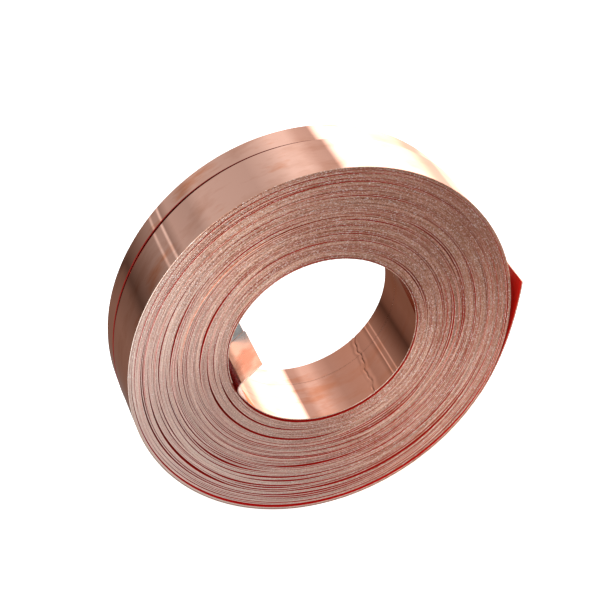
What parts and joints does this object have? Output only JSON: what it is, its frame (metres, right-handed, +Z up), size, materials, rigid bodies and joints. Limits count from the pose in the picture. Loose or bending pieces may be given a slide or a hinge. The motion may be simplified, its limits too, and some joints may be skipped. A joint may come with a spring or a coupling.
{
  "type": "copper strip roll",
  "caption": "Loosely wound roll of bare copper strip with an open bore: a wide and a narrow strip side by side, a hooked inner end and a lifted outer tail.",
  "frame": {"origin": "on the bore's axis, at the middle of the roll's width, where a spindle would hold it", "axes": "+Y along the roll's axis towards the narrow rear strip, +Z up, +X to the right as seen from the front; the roll stands on its rim, like a wheel"},
  "size_m": [0.1592, 0.0326, 0.1609],
  "materials": {
    "copper_front": "bright rolled copper, slit edges dull and sparkling",
    "copper_rear": "bright rolled copper, slit edges dull and sparkling"
  },
  "bodies": {
    "front_roll": {"front_pack_3": "copper_front", "front_pack_4": "copper_front", "front_pack_5": "copper_front", "front_pack_6": "copper_front", "front_pack_7": "copper_front"},
    "front_core": {"front_inner_turn": "copper_front", "front_pack_1": "copper_front", "front_pack_2": "copper_front"},
    "front_hook": {"front_inner_hook": "copper_front"},
    "front_wrap": {"front_outer_wrap": "copper_front", "front_outer_turn": "copper_front"},
    "front_tail": {"front_outer_tail": "copper_front"},
    "rear_roll": {"rear_pack_2": "copper_rear", "rear_pack_3": "copper_rear", "rear_pack_4": "copper_rear", "rear_pack_5": "copper_rear"},
    "rear_core": {"rear_inner_turn": "copper_rear", "rear_pack_1": "copper_rear"},
    "rear_hook": {"rear_inner_hook": "copper_rear"},
    "rear_wrap": {"rear_outer_wrap": "copper_rear", "rear_outer_turn": "copper_rear"},
    "rear_tail": {"rear_outer_tail": "copper_rear"}
  },
  "joints": [
    {"name": "front_core_push", "type": "slide", "parent": "front_roll", "child": "front_core", "axis": [0, -1, 0], "range_m": [0, 0.012]},
    {"name": "front_wrap_shift", "type": "slide", "parent": "front_roll", "child": "front_wrap", "axis": [0, -1, 0], "range_m": [0, 0.005]},
    {"name": "rear_roll_draw", "type": "slide", "parent": "front_roll", "child": "rear_roll", "axis": [0, 1, 0], "range_m": [0, 0.02]},
    {"name": "rear_core_push", "type": "slide", "parent": "rear_roll", "child": "rear_core", "axis": [0, 1, 0], "range_m": [0, 0.012]},
    {"name": "rear_wrap_shift", "type": "slide", "parent": "rear_roll", "child": "rear_wrap", "axis": [0, 1, 0], "range_m": [0, 0.005]},
    {"name": "front_hook_flex", "type": "hinge", "parent": "front_core", "child": "front_hook", "pos_m": [-0.03085, -0.00535, -0.0211], "axis": [0, 1, 0], "range_deg": [-2, 12], "stiffness_Nm_per_rad": 0.6},
    {"name": "rear_hook_flex", "type": "hinge", "parent": "rear_core", "child": "rear_hook", "pos_m": [-0.03085, 0.0112, -0.0211], "axis": [0, 1, 0], "range_deg": [-2, 12], "stiffness_Nm_per_rad": 0.3},
    {"name": "front_tail_lift", "type": "hinge", "parent": "front_wrap", "child": "front_tail", "pos_m": [0.0689, -0.00535, -0.0427], "axis": [0, 1, 0], "range_deg": [-1.5, 50], "stiffness_Nm_per_rad": 0.25},
    {"name": "rear_tail_lift", "type": "hinge", "parent": "rear_wrap", "child": "rear_tail", "pos_m": [0.0513, 0.0112, -0.0617], "axis": [0, 1, 0], "range_deg": [-1.5, 50], "stiffness_Nm_per_rad": 0.12}
  ]
}
